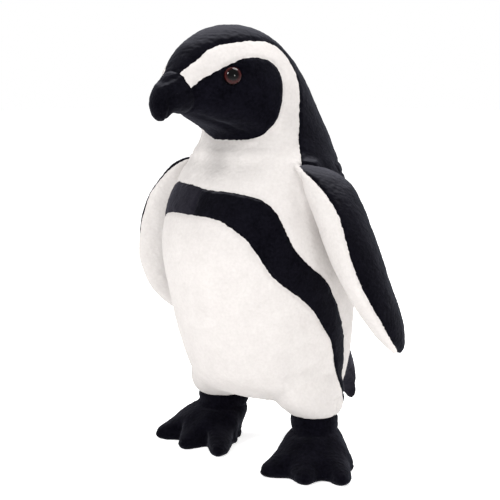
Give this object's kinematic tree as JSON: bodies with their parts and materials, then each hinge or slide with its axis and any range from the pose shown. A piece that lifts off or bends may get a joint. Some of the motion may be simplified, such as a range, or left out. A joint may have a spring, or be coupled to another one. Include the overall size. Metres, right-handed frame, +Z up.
{
  "type": "plush penguin",
  "caption": "Standing soft toy penguin sewn from short pile fabric, with a hooked beak, safety eyes, stuffed wings that flap at the shoulder, a short tail and webbed feet.",
  "frame": {"origin": "on the floor below the middle of the whole penguin, between its feet", "axes": "+Z up, the penguin faces -Y, its left side is +X"},
  "size_m": [0.2308, 0.1944, 0.296],
  "materials": {
    "black_plush": "short pile plush, soft bluish sheen",
    "white_plush": "short pile plush",
    "fibrefill": "loose polyester fibre",
    "pellet_cloth": "plain woven bag",
    "eye": "clear polished dome over a red-brown iris and a black pupil",
    "eye_post": "moulded",
    "eye_washer": "moulded"
  },
  "bodies": {
    "torso": {"crown_panel": "black_plush", "left_beak_panel": "black_plush", "right_beak_panel": "black_plush", "left_cheek_panel": "black_plush", "right_cheek_panel": "black_plush", "left_collar_panel": "white_plush", "right_collar_panel": "white_plush", "left_chest_band": "black_plush", "right_chest_band": "black_plush", "belly_panel": "white_plush", "left_back_panel": "black_plush", "right_back_panel": "black_plush", "underside_panel": "white_plush", "head_filling": "fibrefill", "body_filling": "fibrefill", "pellet_bag": "pellet_cloth", "left_foot_sole": "black_plush", "left_foot_top": "black_plush", "left_ankle_cuff": "black_plush", "left_foot_filling": "fibrefill", "right_foot_sole": "black_plush", "right_foot_top": "black_plush", "right_ankle_cuff": "black_plush", "right_foot_filling": "fibrefill", "left_eye": "eye", "left_eye_post": "eye_post", "left_eye_washer": "eye_washer", "right_eye": "eye", "right_eye_post": "eye_post", "right_eye_washer": "eye_washer"},
    "left_wing": {"left_wing_outer_panel": "black_plush", "left_wing_inner_panel": "white_plush", "left_wing_filling": "fibrefill"},
    "right_wing": {"right_wing_outer_panel": "black_plush", "right_wing_inner_panel": "white_plush", "right_wing_filling": "fibrefill"},
    "tail": {"tail_top_panel": "black_plush", "tail_bottom_panel": "black_plush", "tail_filling": "fibrefill"}
  },
  "joints": [
    {"name": "left_shoulder", "type": "hinge", "parent": "torso", "child": "left_wing", "pos_m": [0.055, 0.00274, 0.192], "axis": [0, -1, 0], "range_deg": [-6, 55], "stiffness_Nm_per_rad": 0.05, "springref_deg": 3.44},
    {"name": "right_shoulder", "type": "hinge", "parent": "torso", "child": "right_wing", "pos_m": [-0.055, 0.00274, 0.192], "axis": [0, 1, 0], "range_deg": [-6, 55], "stiffness_Nm_per_rad": 0.05, "springref_deg": 3.44},
    {"name": "tail_seam", "type": "hinge", "parent": "torso", "child": "tail", "pos_m": [0, 0.06174, 0.058], "axis": [1, 0, 0], "range_deg": [-12, 12], "stiffness_Nm_per_rad": 0.03, "springref_deg": 0.57}
  ]
}
